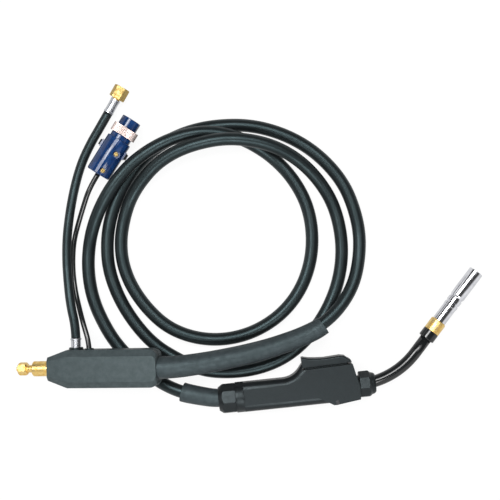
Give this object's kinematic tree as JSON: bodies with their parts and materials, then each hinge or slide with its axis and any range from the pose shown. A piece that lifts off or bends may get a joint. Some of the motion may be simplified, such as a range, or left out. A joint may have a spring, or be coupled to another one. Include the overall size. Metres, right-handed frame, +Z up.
{
  "type": "mig welding torch",
  "caption": "Gas-cooled welding torch: trigger handle, bent neck with push-on gas nozzle, coiled power cable, brass feeder plug, gas hose with nut and round control plug",
  "frame": {"origin": "centre of the torch head's footprint on the surface it lies on: the handle, neck and nozzle, without the cable and what is on it", "axes": "+X along the handle towards the nozzle, +Y to the side the trigger is on, +Z up from the surface; the torch lies on its side"},
  "size_m": [0.6365, 0.458, 0.0607],
  "materials": {
    "moulded_nylon": "fine matt moulded nylon, charcoal",
    "nut_nylon": "satin moulded nylon, charcoal",
    "cable_rubber": "smooth satin rubber jacket, slate black",
    "hose_rubber": "smooth satin rubber hose, black",
    "control_jacket": "glossy black cable jacket",
    "neck_polymer": "glossy black insulating tube",
    "brass": "polished turned brass",
    "copper": "drawn copper",
    "chrome": "polished chrome over copper",
    "crimp_steel": "plated crimped ferrule",
    "navy_plastic": "glossy navy moulded shell",
    "ring_metal": "bright knurled ring",
    "screw_brass": "brass slotted screw heads",
    "screw_steel": "dark plated screws",
    "insulator": "pale heat-resisting moulding",
    "contact_plastic": "black contact insert"
  },
  "bodies": {
    "torch_body": {"cable_crimp_fitting": "brass", "casing_screws": "screw_steel", "casing_shell_lower": "moulded_nylon", "casing_shell_upper": "moulded_nylon", "connector_spigot": "brass", "contact_tip": "copper", "control_cable": "control_jacket", "control_cable_grommet": "hose_rubber", "front_handle_nut": "nut_nylon", "gas_diffuser": "brass", "gas_hose": "hose_rubber", "gas_inlet_stub": "brass", "gas_port_grommet": "hose_rubber", "gas_tail": "brass", "handle_cable_boot": "cable_rubber", "handle_screws": "screw_steel", "handle_shell_lower": "moulded_nylon", "handle_shell_upper": "moulded_nylon", "liner_inlet_guide": "brass", "liner_nut": "brass", "lower_hose_ferrule": "crimp_steel", "machine_end_sleeve": "cable_rubber", "main_cable": "cable_rubber", "microswitch": "contact_plastic", "neck_collar": "neck_polymer", "neck_conductor": "copper", "neck_sleeve": "neck_polymer", "nozzle_insulator": "insulator", "nozzle_seat": "brass", "plug_clamp_nuts": "contact_plastic", "plug_collar": "navy_plastic", "plug_insert": "contact_plastic", "plug_nose": "navy_plastic", "plug_pins": "brass", "plug_screws": "screw_brass", "plug_shell_lower": "navy_plastic", "plug_shell_upper": "navy_plastic", "rear_handle_nut": "nut_nylon", "switch_holder": "contact_plastic", "switch_leads": "control_jacket", "trigger_pin": "screw_steel", "trigger_spring": "screw_steel", "upper_hose_ferrule": "crimp_steel", "wire_liner": "screw_steel"},
    "trigger_body": {"trigger": "moulded_nylon"},
    "switch_body": {"switch_button": "navy_plastic"},
    "nozzle_body": {"gas_nozzle": "chrome"},
    "gas_nut_body": {"gas_nut": "brass"},
    "coupling_ring_body": {"coupling_ring": "ring_metal"}
  },
  "joints": [
    {"name": "trigger_press", "type": "hinge", "parent": "torch_body", "child": "trigger_body", "pos_m": [-0.0612, -0.0351, 0.0206], "axis": [0, 0, -1], "range_deg": [0, 1.9], "stiffness_Nm_per_rad": 6, "springref_deg": -1.15},
    {"name": "switch_press", "type": "slide", "parent": "torch_body", "child": "switch_body", "axis": [0, -1, 0], "range_m": [0, 0.0013]},
    {"name": "nozzle_pull", "type": "slide", "parent": "torch_body", "child": "nozzle_body", "axis": [0.682, 0.7314, 0], "range_m": [0, 0.02]},
    {"name": "gas_nut_spin", "type": "hinge", "parent": "torch_body", "child": "gas_nut_body", "pos_m": [-0.27504, 0.36487, 0.0123], "axis": [0.5851, 0.8102, 0.036], "continuous": true},
    {"name": "coupling_ring_spin", "type": "hinge", "parent": "torch_body", "child": "coupling_ring_body", "pos_m": [-0.27339, 0.31147, 0.018], "axis": [0.6158, 0.7879, 0], "continuous": true}
  ],
  "couplings": [
    {"joint": "switch_press", "follows": "trigger_press", "m_per_rad": 0.037}
  ]
}
